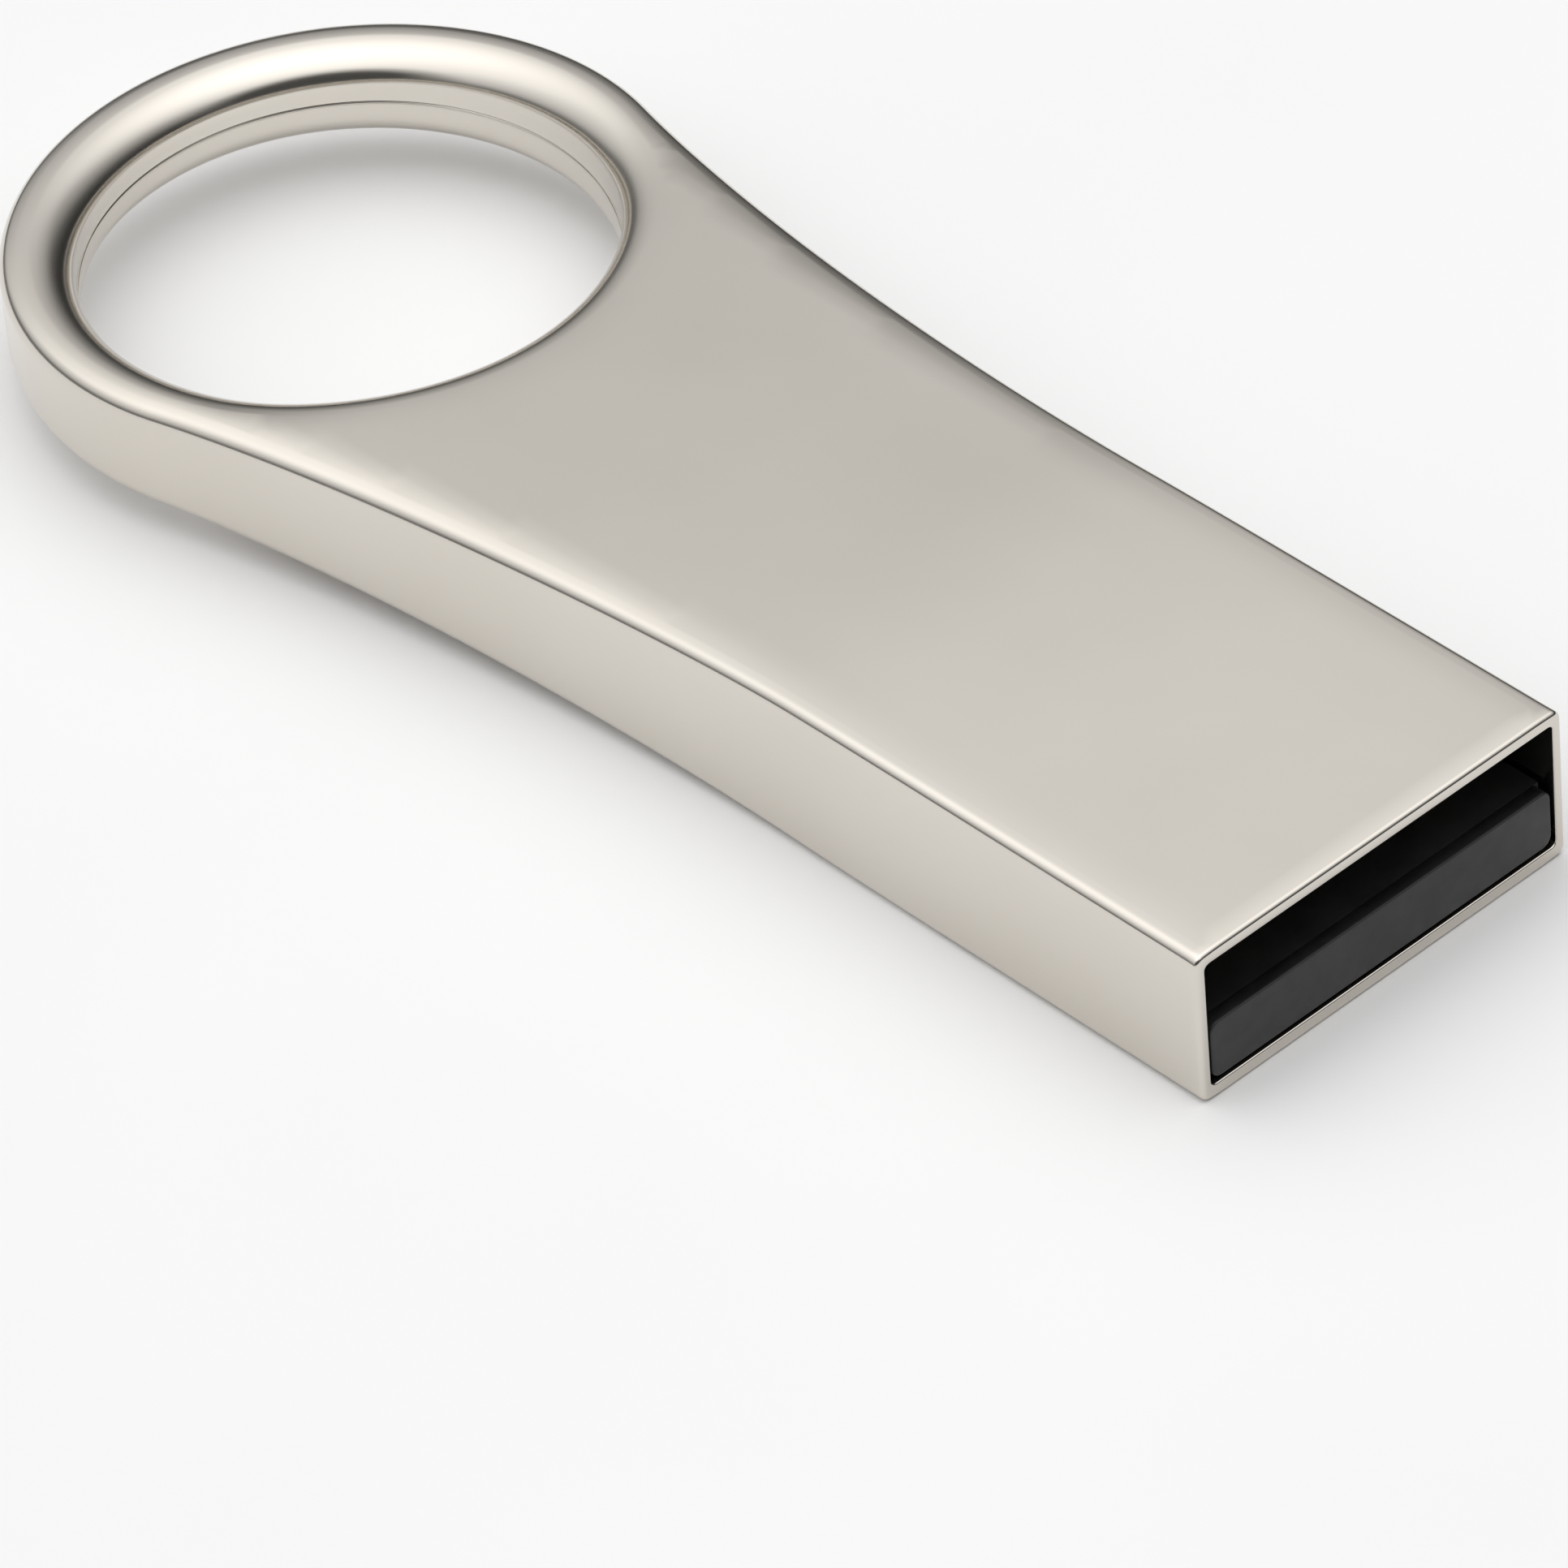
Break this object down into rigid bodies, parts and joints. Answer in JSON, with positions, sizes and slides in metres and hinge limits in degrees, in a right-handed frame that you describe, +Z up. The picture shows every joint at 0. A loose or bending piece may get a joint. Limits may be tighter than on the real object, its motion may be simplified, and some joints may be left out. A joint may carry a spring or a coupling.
{
  "type": "usb flash drive",
  "caption": "Metal USB flash drive: a slim cast casing with an open plug end and an integral key ring loop.",
  "frame": {"origin": "under the middle of the whole drive, on the surface that it lies on", "axes": "+X runs along the drive towards the plug end, +Z up through its thin side, Y across it"},
  "size_m": [0.0444, 0.0172, 0.0044],
  "materials": {
    "satin_nickel": "satin pearl nickel plating on a zinc die casting",
    "black_plastic": "fine moulded black plastic",
    "laminate": "dark solder mask on glass laminate",
    "epoxy": "black moulding compound",
    "gold_plating": "gold plating, lightly wiped",
    "die_film": "amber adhesive film",
    "silicon": "polished grey silicon",
    "metal_can": "drawn metal lid",
    "chip_ceramic": "fired tan ceramic",
    "chip_resistor": "black glazed ceramic",
    "foam_tape": "pale double-sided tape",
    "clear_glue": "cured pale glue"
  },
  "bodies": {
    "root": {"casing": "satin_nickel", "adhesive_tape": "foam_tape", "glue_bead": "clear_glue", "carrier_tray": "black_plastic", "carrier_cover": "black_plastic", "module_substrate": "laminate", "mould_cap": "epoxy", "contact_vbus": "gold_plating", "contact_d_minus": "gold_plating", "contact_d_plus": "gold_plating", "contact_ground": "gold_plating", "memory_die_film": "die_film", "memory_die": "silicon", "controller_die_film": "die_film", "controller_die": "silicon", "crystal": "metal_can", "capacitor_1": "chip_ceramic", "capacitor_2": "chip_ceramic", "capacitor_3": "chip_ceramic", "capacitor_4": "chip_ceramic", "resistor_1": "chip_resistor", "resistor_2": "chip_resistor"}
  },
  "joints": []
}
